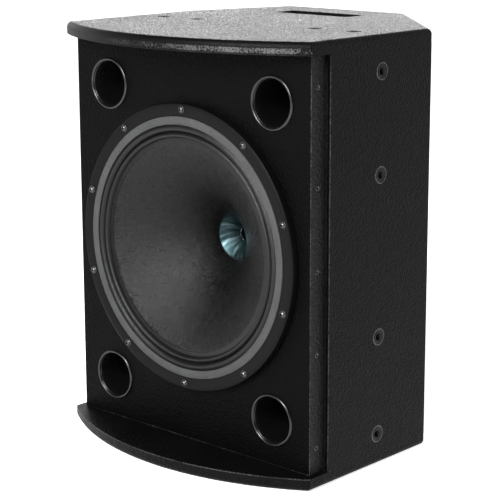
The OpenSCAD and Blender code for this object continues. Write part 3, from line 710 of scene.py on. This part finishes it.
top_cuts = [slot_cutter(HX0, HX1, HY0, HY1, 7, Z1 - 3, Z_TOP, 2.5)]
for x in RIG_X:
    top_cuts += seat_cutters("+z", (x, RIG_Y + 2.5, Z_TOP))
deck("top_deck", Z1, Z_TOP, top_cuts, "top_panel")
POLE_Y = 10
bottom_cuts = [moved(cyl(42.1, -1, 3.05, 96), lambda p: (p[0], p[1] + POLE_Y, p[2])), moved(cyl(20.6, -2, Z0 + 2, 64), lambda p: (p[0], p[1] + POLE_Y, p[2]))]
deck("bottom_deck", Z0, 0.0, bottom_cuts, "bottom_panel")


def wall(name, pts, cutters, node_name, creases, mat=PAINT, width=1.6):
    part = prism(pts, Z0, Z1)
    ob = new_object(name, part[0], part[1], mat)
    spots = [Vector((x * MM, y * MM)) for x, y in creases]
    if spots:
        bevel_edges(ob, lambda e: abs(e.verts[0].co.z - e.verts[1].co.z) > 1e-3 and any((e.verts[0].co.xy - c).length < 1e-6 for c in spots), width, 4)
    if cutters:
        cut(ob, cutters)
    smooth(ob, 40)
    weighted(ob)
    if spots:
        ob.data.materials.append(ARRIS_HIGHLIGHT)
        ob.data.materials.append(PAINT_REBATE_LIT)
        for f in ob.data.polygons:
            # The bevelled crease gets the arris paint with its painted highlight.
            if 0.96 > abs(f.normal.x) > 0.25 and f.normal.y < -0.25 and abs(f.normal.z) < 0.1:
                f.material_index = 1
            # Faces in front of the step, beside the baffle, get the lighter rebate copy, which is painted light.
            elif abs(f.center.x) < (BAFFLE_HALF + 3) * MM and f.center.y < (STEP_Y - 0.5) * MM:
                f.material_index = 2
    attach(ob, "cabinet")
    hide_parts(node_name)
    return ob


right_pts = [(HALF - PLY, BAFFLE_BACK), (BAFFLE_HALF, BAFFLE_BACK), (BAFFLE_HALF, STEP_Y), (HALF, STEP_Y), WO[0], WI[0]]
left_pts = [(-HALF + PLY, BAFFLE_BACK), WI[3], WO[3], (-HALF, STEP_Y), (-BAFFLE_HALF, STEP_Y), (-BAFFLE_HALF, BAFFLE_BACK)]
right_cuts, left_cuts = [], []
for z in RIG_Z:
    right_cuts += seat_cutters("+x", (HALF, RIG_Y, z))
    left_cuts += seat_cutters("-x", (-HALF, RIG_Y, z))
groove = [(HALF - 4.6, STEP_Y - 3), (HALF - 4.6, STEP_Y + 0.4), (HALF - 4.2, STEP_Y + 2.2), (HALF - 3.0, STEP_Y + 2.2), (HALF - 2.6, STEP_Y + 0.4), (HALF - 2.6, STEP_Y - 3)]
right_cuts.append(prism(groove, Z0 - 5, Z1 + 5))
left_cuts.append(prism([(-x, y) for x, y in reversed(groove)], Z0 - 5, Z1 + 5))
wall("right_wall", right_pts, right_cuts, "right_side_panel", [(HALF, STEP_Y)])
wall("left_wall", left_pts, left_cuts, "left_side_panel", [(-HALF, STEP_Y)])
wall("right_rear_wall", [WO[0], WO[1], WI[1], WI[0]], [], "right_rear_panel", [])
wall("left_rear_wall", [WO[2], WO[3], WI[3], WI[2]], [], "left_rear_panel", [])
d_lo, d_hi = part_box("input_dish")
DX, DZ = (d_lo.x + d_hi.x) / 2 / MM, (d_lo.z + d_hi.z) / 2 / MM
DW, DH = 150, 170
CW, CH = 118, 138
back_cuts = [moved(prism(rounded_rect(0, 0, CW + 2, CH + 2, 4), -30, 20), out_of("+y", (DX, BACK_Y, DZ))),
             moved(prism(rounded_rect(0, 0, DW + 0.3, DH + 0.3, 8), -3.0, 4), out_of("+y", (DX, BACK_Y, DZ)))]
wall("back_wall", [WO[1], WO[2], WI[2], WI[1]], back_cuts, "back_panel", [])

# baffle: slightly softened edges, a driver opening and four port holes
bx = BAFFLE_HALF
part = prism([(-bx, BF), (bx, BF), (bx, BAFFLE_BACK), (-bx, BAFFLE_BACK)], Z0, Z1)
# The baffle takes the darker copy of the paint, which is painted shade.
baffle = new_object("baffle_board", part[0], part[1], PAINT_BAFFLE_SHADED)
bevel_edges(baffle, lambda e: abs(e.verts[0].co.z - e.verts[1].co.z) > 1e-3 and abs(e.verts[0].co.y - BF * MM) < 1e-6, 1.6, 4)
cuts = [moved(cyl(178, -5, 25, 192), to_driver)]
for px, pz in PORTS.values():
    cuts.append(moved(cyl(34.15, -5, 25, 96), to_port(px, pz)))
for s, ax in ((1, "+x"), (-1, "-x")):
    for z in GRILLE_Z:
        cuts.append(moved(cyl(3.6, -13, 3, 32), out_of(ax, (s * bx, GRILLE_Y, z))))
cut(baffle, cuts)
smooth(baffle, 40)
weighted(baffle)
baffle.data.materials.append(ARRIS_HIGHLIGHT)
baffle.data.materials.append(PAINT_REBATE_LIT)
for f in baffle.data.polygons:
    if abs(f.center.x) > (BAFFLE_HALF - 2.5) * MM and abs(f.normal.z) < 0.1:
        # The softened vertical edges get the arris paint with its painted highlight.
        if abs(f.normal.x) > 0.25 and f.normal.y < -0.25:
            f.material_index = 1
        # The baffle's side faces get the lighter rebate copy, which is painted light.
        elif abs(f.normal.x) > 0.9:
            f.material_index = 2
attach(baffle, "cabinet")
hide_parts("front_baffle")


# the painted fillet where the baffle meets the lower panel
fillet = [(BF + 0.5, Z0 - 0.3), (BF + 0.5, Z0 + 1.2)] + [(BF - 1.0 + 1.0 * math.cos(math.radians(t)), Z0 + 1.0 - 1.0 * math.sin(math.radians(t))) for t in range(0, 91, 15)] + [(BF - 1.0, Z0 - 0.3)]
part = ([(x, y, z) for x in (-bx + 1.5, bx - 1.5) for y, z in fillet], [])
kf = len(fillet)
part[1].extend([tuple(range(kf)), tuple(reversed(range(kf, 2 * kf)))] + [(i, (i + 1) % kf, kf + (i + 1) % kf, kf + i) for i in range(kf)])
# The fillet's paint carries a faint painted highlight in specks.
piece("baffle_fillet", part, FILLET_HIGHLIGHT, "cabinet", None, 60)


# ---------------------------------------------------------------- ports
def port_profile():
    ri, rl = 31.0, 37.0
    lip = arc((rl + ri + 1.6) / 2, 0, (rl - ri - 1.6) / 2, 180, 360, 14)
    lip = [(r, z * 2.6 / ((rl - ri - 1.6) / 2)) for r, z in lip]
    throat = [(ri + 1.6 * (1 - math.cos(math.radians(a))), 12 * (1 - math.sin(math.radians(a)))) for a in range(0, 90, 10)]
    return [(ri, 120), (ri, 60), *throat, *lip, (36.9, 0.0), (34, 0.0), (34, 120)]


for key, (px, pz) in PORTS.items():
    piece("port_tube_" + key, moved(revolve(port_profile(), 128), to_port(px, pz)), PLASTIC, "cabinet", "port_" + key, 50)


# ---------------------------------------------------------------- driver
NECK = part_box("coil_former")[0].y / MM - BF       # depth of the cone's neck behind the baffle's face
COIL_R = 34.2
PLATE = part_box("front_plate")[0].y / MM - BF      # front face of the magnet's front plate
FF = -11.6                                        # front of the cast ring
ring = [(185.3, -9.0), (185.3, FF + 0.8), *[(186.1 - 0.8 * math.cos(math.radians(a)), FF + 0.8 - 0.8 * math.sin(math.radians(a))) for a in (30, 60, 90)],
        (199.4, FF), (199.7, FF + 0.25), (200.3, FF + 0.25), (200.6, FF),
        *[(201.2 + 1.7 * math.sin(math.radians(a)), FF + 1.7 - 1.7 * math.cos(math.radians(a))) for a in (0, 22.5, 45, 67.5, 90)],
        (203.0, -0.6), (202.4, 0.0), (176.5, 0.0), (176.5, 14), (171, 14), (171, -9.0)]
piece("cast_frame", moved(revolve(ring, 256), to_driver), POWDER, "cabinet", "driver_frame", 32)
rear = [(60, PLATE - 7), (60, PLATE), (114, PLATE), (114, PLATE - 14), (107, PLATE - 14), (103, PLATE - 16), (99, PLATE - 16), (98, PLATE - 14), (74, PLATE - 14), (74, PLATE - 7)]
parts = [revolve([(171, 12), (176.5, 12), (174.5, 20), (170.0, 21)], 192), revolve(rear, 128)]
for k in range(8):
    w = 11.5
    parts.append(revolve([(167.5, 18), (172.5, 18), (114.2, PLATE - 13), (107.2, PLATE - 13)], 8, 45 * k - w, 45 * k + w))
    # stiffening rib down the middle of each spoke
    parts.append(revolve([(171.0, 22), (174.0, 21), (118.0, PLATE - 12), (113.0, PLATE - 12)], 2, 45 * k - 1.6, 45 * k + 1.6))
piece("cast_basket", moved(join(parts), to_driver), POWDER, "cabinet", "driver_basket", 32)

g = 0.5
gask = [(173.6, -10.4), (173.6, -12.4 + g), (173.6 + g, -12.4), (185 - g, -12.4), (185, -12.4 + g), (185, -10.4)]
piece("gasket_ring", moved(revolve(gask, 256), to_driver), GASKET, "cabinet", "front_gasket", 50)

FL = -6.0


def roll_z(r):
    t = (r - 154) / 18
    return FL + 1.0 - 5.3 * t ** 1.5 - (6.2 - 3.1 * t) * abs(math.sin(2 * math.pi * t)) ** 0.8


rs = [154 + 18 * i / 72 for i in range(73)]
prof = [(148.5, FL - 0.05), (148.5, FL - 1.0), (149.0, FL - 1.2)] + [(r, roll_z(r)) for r in rs] + [(184.8, -10.32), (184.8, -9.3)]
prof += [(r, roll_z(r) + 1.15) for r in reversed(rs[3:])] + [(154.2, FL - 0.1)]
surround = new_object("surround_rolls", *moved(revolve(prof, 320), to_driver), CLOTH, 60)
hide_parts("surround")


def radial_blend(ob):
    """Bakes the piece's transform into its mesh."""
    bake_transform(ob)


radial_blend(surround)

SPZ = PLATE - 15.2
rs = [37 + 37 * i / 90 for i in range(91)]
prof = [(COIL_R + 0.65, SPZ), (COIL_R + 0.65, SPZ - 0.9)] + [(r, SPZ - 0.9 + 1.6 * math.sin((r - 37) * 2 * math.pi / 7.4)) for r in rs] + [(84, SPZ + 0.1), (84, SPZ + 1.1)]
prof += [(r, SPZ + 1.6 * math.sin((r - 37) * 2 * math.pi / 7.4)) for r in reversed(rs)]
SPIDER = plain("spider_cloth", (0.5, 0.36, 0.12), 0.8, 0.0, 900, 0.3, 0.2)
spider = new_object("spider_rolls", *moved(revolve(prof, 160), to_driver), SPIDER, 60)
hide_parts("spider")
radial_blend(spider)

s_lo, s_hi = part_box("hf_suspension")
sz = (s_lo.y / MM) - BF
prof = [(23.4, sz), (26, sz), *[(26 + 6 * i / 12, sz + 0.0 - 0.0 * i) for i in range(1, 12)], (34, sz), (34, sz + 0.5), (23.4, sz + 0.5)]
susp = new_object("tweeter_suspension", *moved(revolve(prof, 96), to_driver), SPIDER, 60)
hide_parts("hf_suspension")
radial_blend(susp)

NECK_R = COIL_R + 0.7


def cone_z(r):
    return NECK - (NECK - FL) * max(0.0, (r - NECK_R) / (148 - NECK_R)) ** 0.58


def cone_back(r):
    t = max((r - NECK_R) / (148 - NECK_R), 0.00002)
    slope = -(NECK - FL) * 0.58 / (148 - NECK_R) * t ** (0.58 - 1)
    n = math.hypot(1, slope)
    return (r - slope / n * 1.3, cone_z(r) + 1.3 / n)


rs = [NECK_R + (148 - NECK_R) * (i / 70) ** 2.4 for i in range(71)]
prof = [(NECK_R, NECK + 5)] + [(r, cone_z(r)) for r in rs]
prof += [(148.4, FL), (152.2, FL), (152.5, FL + 0.4), (152.5, FL + 1.3)]
prof += [cone_back(r) for r in reversed(rs[2:])] + [(NECK_R + 1.3, NECK + 0.5), (NECK_R + 1.3, NECK + 5)]
piece("paper_cone", moved(revolve(prof, 320), to_driver), PAPER, "cone_assembly", "cone", 60)


# flared guide with shallow flutes that run from the mouth to the throat
def guide():
    n, z0g, z1g = 288, NECK - 1, NECK + 23
    zs = [z0g + (z1g - z0g) * i / 40 for i in range(41)]
    verts, faces = [], []
    inner = [(12 + 20.4 * ((z1g - z) / (z1g - z0g)) ** 1.5, z) for z in zs]
    back_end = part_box("pole_piece")[1].y / MM - BF
    outline = [(32.9, z0g - 0.3), (32.7, z0g - 0.4)] + inner + [(12.4, back_end), (13.4, back_end), (13.4, PLATE - 2.15), (32.9, PLATE - 2.15)]
    k = len(outline)
    for i in range(n):
        a = 2 * math.pi * i / n
        for m, (r, z) in enumerate(outline):
            if 2 <= m < 2 + len(inner):
                depth = 0.8 * math.sin(math.pi * min(1, max(0, (r - 12) / 20.4))) ** 0.7
                r = r + depth * (0.5 - abs(math.cos(6 * a + 0.45)))
            verts.append((r * math.cos(a), r * math.sin(a), z))
    for i in range(n):
        j = (i + 1) % n
        for m in range(k):
            q = (m + 1) % k
            faces.append((i * k + m, i * k + q, j * k + q, j * k + m))
    return verts, faces


piece("flared_guide", moved(guide(), to_driver), TEAL, "cabinet", "waveguide", 40)
TZ = NECK + 23
rim = [(12.2, TZ), (11.9, TZ - 0.9), (12.5, TZ - 1.7), (13.5, TZ - 2.0), (14.1, TZ - 1.2), (13.2, TZ + 0.4)]
BRIGHT = plain("throat_ring", (0.75, 0.77, 0.78), 0.18, 1.0, 300, 0.02, 0.08)
piece("throat_ring", moved(revolve(rim, 96), to_driver), BRIGHT, "cabinet", None, 60)


# ---------------------------------------------------------------- fixings
def socket_screw(head_r, head_h, socket_r, shank_r, shank_l, dome=1.0, n=48):
    """Dome-headed screw with a hex socket; z = 0 is the seat and +z is out."""
    depth = head_h * 0.62
    prof = [(shank_r, -shank_l), (shank_r, 0), (head_r - 0.2, 0), (head_r, 0.25)]
    prof += [(head_r * math.cos(math.radians(a)) ** 0.75, 0.3 + (head_h - 0.3) * math.sin(math.radians(a))) for a in (15, 30, 45, 60, 72)]
    prof = [p for p in prof if p[0] > socket_r * 1.25]
    k = len(prof)
    verts, faces = [], []
    for i in range(n):
        a = 2 * math.pi * i / n
        verts += [(r * math.cos(a), r * math.sin(a), z) for r, z in prof]
    for i in range(n):
        j = (i + 1) % n
        for m in range(k - 1):
            faces.append((i * k + m, j * k + m, j * k + m + 1, i * k + m + 1))
    base = len(verts)
    # hexagonal rim and the socket's walls and floor
    for z, s in ((head_h, 1.0), (head_h - depth, 1.0)):
        for i in range(n):
            a = 2 * math.pi * i / n
            seg = math.pi / 3
            ah = (a + seg / 2) % seg - seg / 2
            r = s * socket_r * math.cos(seg / 2) / math.cos(ah) * 1.0
            verts.append((r * math.cos(a), r * math.sin(a), z))
    for i in range(n):
        j = (i + 1) % n
        faces.append((i * k + k - 1, j * k + k - 1, base + j, base + i))
        faces.append((base + i, base + j, base + n + j, base + n + i))
    faces.append(tuple(base + n + i for i in range(n)))
    faces.append(tuple(i * k for i in reversed(range(n))))
    return verts, faces


def ring_washer(ri, ro, h):
    return revolve([(ri, 0), (ro, 0), (ro, h * 0.6), (ro - 0.3, h), (ri + 0.2, h), (ri, h - 0.2)], 48)


frame_screws = []
for i in range(10):
    a = math.radians(36 * i)
    cx, cy = 195 * math.sin(a), -195 * math.cos(a)
    twist = math.radians((i * 47) % 60)

    def place(p, cx=cx, cy=cy, t=twist):
        x, y = p[0] * math.cos(t) - p[1] * math.sin(t), p[0] * math.sin(t) + p[1] * math.cos(t)
        return to_driver((x + cx, y + cy, FF - p[2]))
    frame_screws.append(moved(ring_washer(2.4, 4.9, 0.7), place))
    frame_screws.append(moved(socket_screw(4.3, 3.0, 2.1, 2.3, 24), lambda p, f=place: f((p[0], p[1], p[2] + 0.4))))
ob = piece("frame_screws", join(frame_screws), SCREW, "cabinet", "driver_screws", 35)


ob.data.materials.append(RIM_HIGHLIGHT)
ob.data.materials.append(SOCKET_SHADE)
for f in ob.data.polygons:
    d = min(math.hypot(f.center.x - 195 * MM * math.sin(math.radians(36 * i)), f.center.z - AXIS_Z * MM - 195 * MM * math.cos(math.radians(36 * i))) for i in range(10)) / MM
    # the washers' outer ring gets the lighter rim finish, a painted highlight
    if d > 4.35:
        f.material_index = 1
    # the hex sockets get the dark finish, which is painted shade
    elif d < 2.25 and f.center.y > (BF + FF - 3.0) * MM:
        f.material_index = 2


def insert_part():
    """Flanged threaded insert: rounded flange, a shallow dish and a bore with thread grooves."""
    prof = [(8, -20), (8, -2), (12, -2), (12, -0.4), (11.7, 0.0), (10.9, 0.0), (10.5, -0.6), (9.4, -0.9), (8.0, -0.9), (7.6, -0.4), (6.6, -0.3), (5.6, -0.6), (4.6, -2.2)]
    z = -2.6
    while z > -18.5:
        prof += [(4.25, z), (4.65, z - 0.75)]
        z -= 1.5
    prof += [(4.25, -19.4), (4.6, -20)]
    return revolve(prof, 64)


INS = insert_part()


def rimmed(ob, centres, i, j):
    """Gives the outer rim and the lip of each insert a lighter finish as a painted highlight."""
    ob.data.materials.append(RIM_HIGHLIGHT)
    for f in ob.data.polygons:
        d = min(math.hypot(f.center[i] - u * MM, f.center[j] - v * MM) for u, v in centres) / MM
        if d > 11.05 or 6.2 < d < 6.9:
            f.material_index = 1


for side, ax, sx in (("left", "-x", -1), ("right", "+x", 1)):
    ob = piece(side + "_rig_points", join([moved(INS, out_of(ax, (sx * HALF, RIG_Y, z))) for z in RIG_Z]), INSERT, "cabinet", side + "_rigging_inserts", 35)
    rimmed(ob, [(RIG_Y, z) for z in RIG_Z], 1, 2)
ob = piece("top_rig_points", join([moved(INS, out_of("+z", (x, RIG_Y + 2.5, Z_TOP))) for x in RIG_X]), INSERT, "cabinet", "top_rigging_inserts", 35)
rimmed(ob, [(x, RIG_Y + 2.5) for x in RIG_X], 0, 1)
small = revolve([(3.5, -12), (3.5, -0.3), (3.2, 0.0), (2.6, 0.0), (2.1, -0.5), *[(2.1 + 0.25 * (i % 2), -0.5 - 0.5 * i) for i in range(1, 22)], (2.1, -12)], 40)
parts = []
for s, ax in ((1, "+x"), (-1, "-x")):
    for z in GRILLE_Z:
        parts.append(moved(small, out_of(ax, (s * BAFFLE_HALF, GRILLE_Y, z))))
piece("grille_points", join(parts), SMALL_INSERT, "cabinet", "grille_inserts", 35)

# ---------------------------------------------------------------- floor, light, camera
floor_mesh = bpy.data.meshes.new("floor")
floor_mesh.from_pydata([(-40, -40, 0), (40, -40, 0), (40, 40, 0), (-40, 40, 0)], [], [(0, 1, 2, 3)])
floor = bpy.data.objects.new("floor", floor_mesh)
COLL.objects.link(floor)
floor.location.z = CAD_BOX[0].z - 0.0005


def floor_look(nt, bs):
    co = coords(nt)
    nt.links.new(mixed(nt, noise(nt, co, 3, 3.0), (0.86, 0.86, 0.86), (0.90, 0.90, 0.90)), bs.inputs["Base Color"])
    bs.inputs["Roughness"].default_value = 0.9
    bs.inputs["Specular IOR Level"].default_value = 0.1
    bs.inputs["Emission Color"].default_value = (1, 1, 1, 1)
    # The floor glows with painted light: stronger towards the back and far off, where it washes out the cast shadow,
    # and weaker in front.
    sp = nt.nodes.new("ShaderNodeSeparateXYZ")
    nt.links.new(co, sp.inputs[0])
    back = math_node(nt, "ADD", math_node(nt, "MULTIPLY", sp.outputs["Y"], 0.72), math_node(nt, "MULTIPLY", sp.outputs["X"], 0.30))
    away = nt.nodes.new("ShaderNodeVectorMath")
    away.operation = "LENGTH"
    nt.links.new(co, away.inputs[0])
    far = math_node(nt, "MULTIPLY", math_node(nt, "SUBTRACT", away.outputs["Value"], 1.9), 0.9, True)
    floor_glow = math_node(nt, "MAXIMUM", math_node(nt, "ADD", math_node(nt, "MULTIPLY", back, 1.6), 0.75, True), far)
    nt.links.new(math_node(nt, "ADD", math_node(nt, "MULTIPLY", floor_glow, 0.56), 0.34), bs.inputs["Emission Strength"])


floor_mesh.materials.append(material("floor", floor_look))

world = bpy.data.worlds.new("studio")
bpy.context.scene.world = world
world.use_nodes = True
nt = world.node_tree
nt.nodes.clear()
out = nt.nodes.new("ShaderNodeOutputWorld")
bg = nt.nodes.new("ShaderNodeBackground")
nt.links.new(bg.outputs[0], out.inputs[0])
tc = nt.nodes.new("ShaderNodeTexCoord")
sep = nt.nodes.new("ShaderNodeSeparateXYZ")
nt.links.new(tc.outputs["Generated"], sep.inputs[0])
horizon = ramp(nt, sep.outputs["Z"], [(0.0, 1.0), (0.24, 1.0), (0.38, 0.16), (0.6, 0.02)])
across = nt.nodes.new("ShaderNodeVectorMath")
across.operation = "DOT_PRODUCT"
across.inputs[1].default_value = (-0.68, 0.73, 0)
nt.links.new(tc.outputs["Generated"], across.inputs[0])
behind = ramp(nt, math_node(nt, "ADD", math_node(nt, "MULTIPLY", across.outputs["Value"], 0.5), 0.5), [(0.55, 0.10), (0.93, 1.0)])
low = ramp(nt, sep.outputs["Z"], [(0.0, 0.31), (0.05, 0.31), (0.09, 0.0)])
nt.links.new(math_node(nt, "MULTIPLY", math_node(nt, "MAXIMUM", math_node(nt, "MULTIPLY", horizon, behind), low), 3.2), bg.inputs["Strength"])
bg.inputs["Color"].default_value = (1, 1, 1, 1)


def area(name, loc, aim, size, power, size_y=None):
    l = bpy.data.lights.new(name, "AREA")
    l.energy = power
    l.size = size
    if size_y:
        l.shape = "RECTANGLE"
        l.size_y = size_y
    o = bpy.data.objects.new(name, l)
    COLL.objects.link(o)
    o.location = loc
    o.rotation_mode = "QUATERNION"
    o.rotation_quaternion = (Vector(aim) - Vector(loc)).to_track_quat("-Z", "Y")
    o.visible_camera = False
    return o


sun = bpy.data.lights.new("ceiling", "SUN")
sun.energy = 0.45
sun.angle = math.radians(50)
sun_ob = bpy.data.objects.new("ceiling", sun)
COLL.objects.link(sun_ob)
sun_ob.rotation_mode = "QUATERNION"
sun_ob.rotation_quaternion = Vector((0.05, -0.06, -1)).to_track_quat("-Z", "Y")
area("key", (0.42, -2.95, 2.0), (0, 0, 0.3), 1.4, 280)
area("side", (3.2, 0.9, 1.5), (0.2, 0, 0.3), 1.4, 14)

cam_data = bpy.data.cameras.new("camera")
cam = bpy.data.objects.new("camera", cam_data)
COLL.objects.link(cam)
cam_data.sensor_width = 36.0
cam_data.sensor_fit = "HORIZONTAL"
cam_data.lens = 1628.04 / 500 * 36.0
cam_data.shift_y = -0.05
yaw, pitch, roll = math.radians(42.676), math.radians(12.137), math.radians(-0.155)
fwd = Vector((-math.sin(yaw) * math.cos(pitch), math.cos(yaw) * math.cos(pitch), -math.sin(pitch)))
right = Vector((math.cos(yaw), math.sin(yaw), 0))
up = right.cross(fwd)
r2 = right * math.cos(roll) + up * math.sin(roll)
u2 = -right * math.sin(roll) + up * math.cos(roll)
m = Matrix((r2, u2, -fwd)).transposed().to_4x4()
m.translation = Vector((1.5634, -1.73643, 0.80585))
cam.matrix_world = m
cam_data.clip_start, cam_data.clip_end = 0.05, 200
bpy.context.scene.camera = cam
bpy.context.scene.view_settings.view_transform = "Standard"
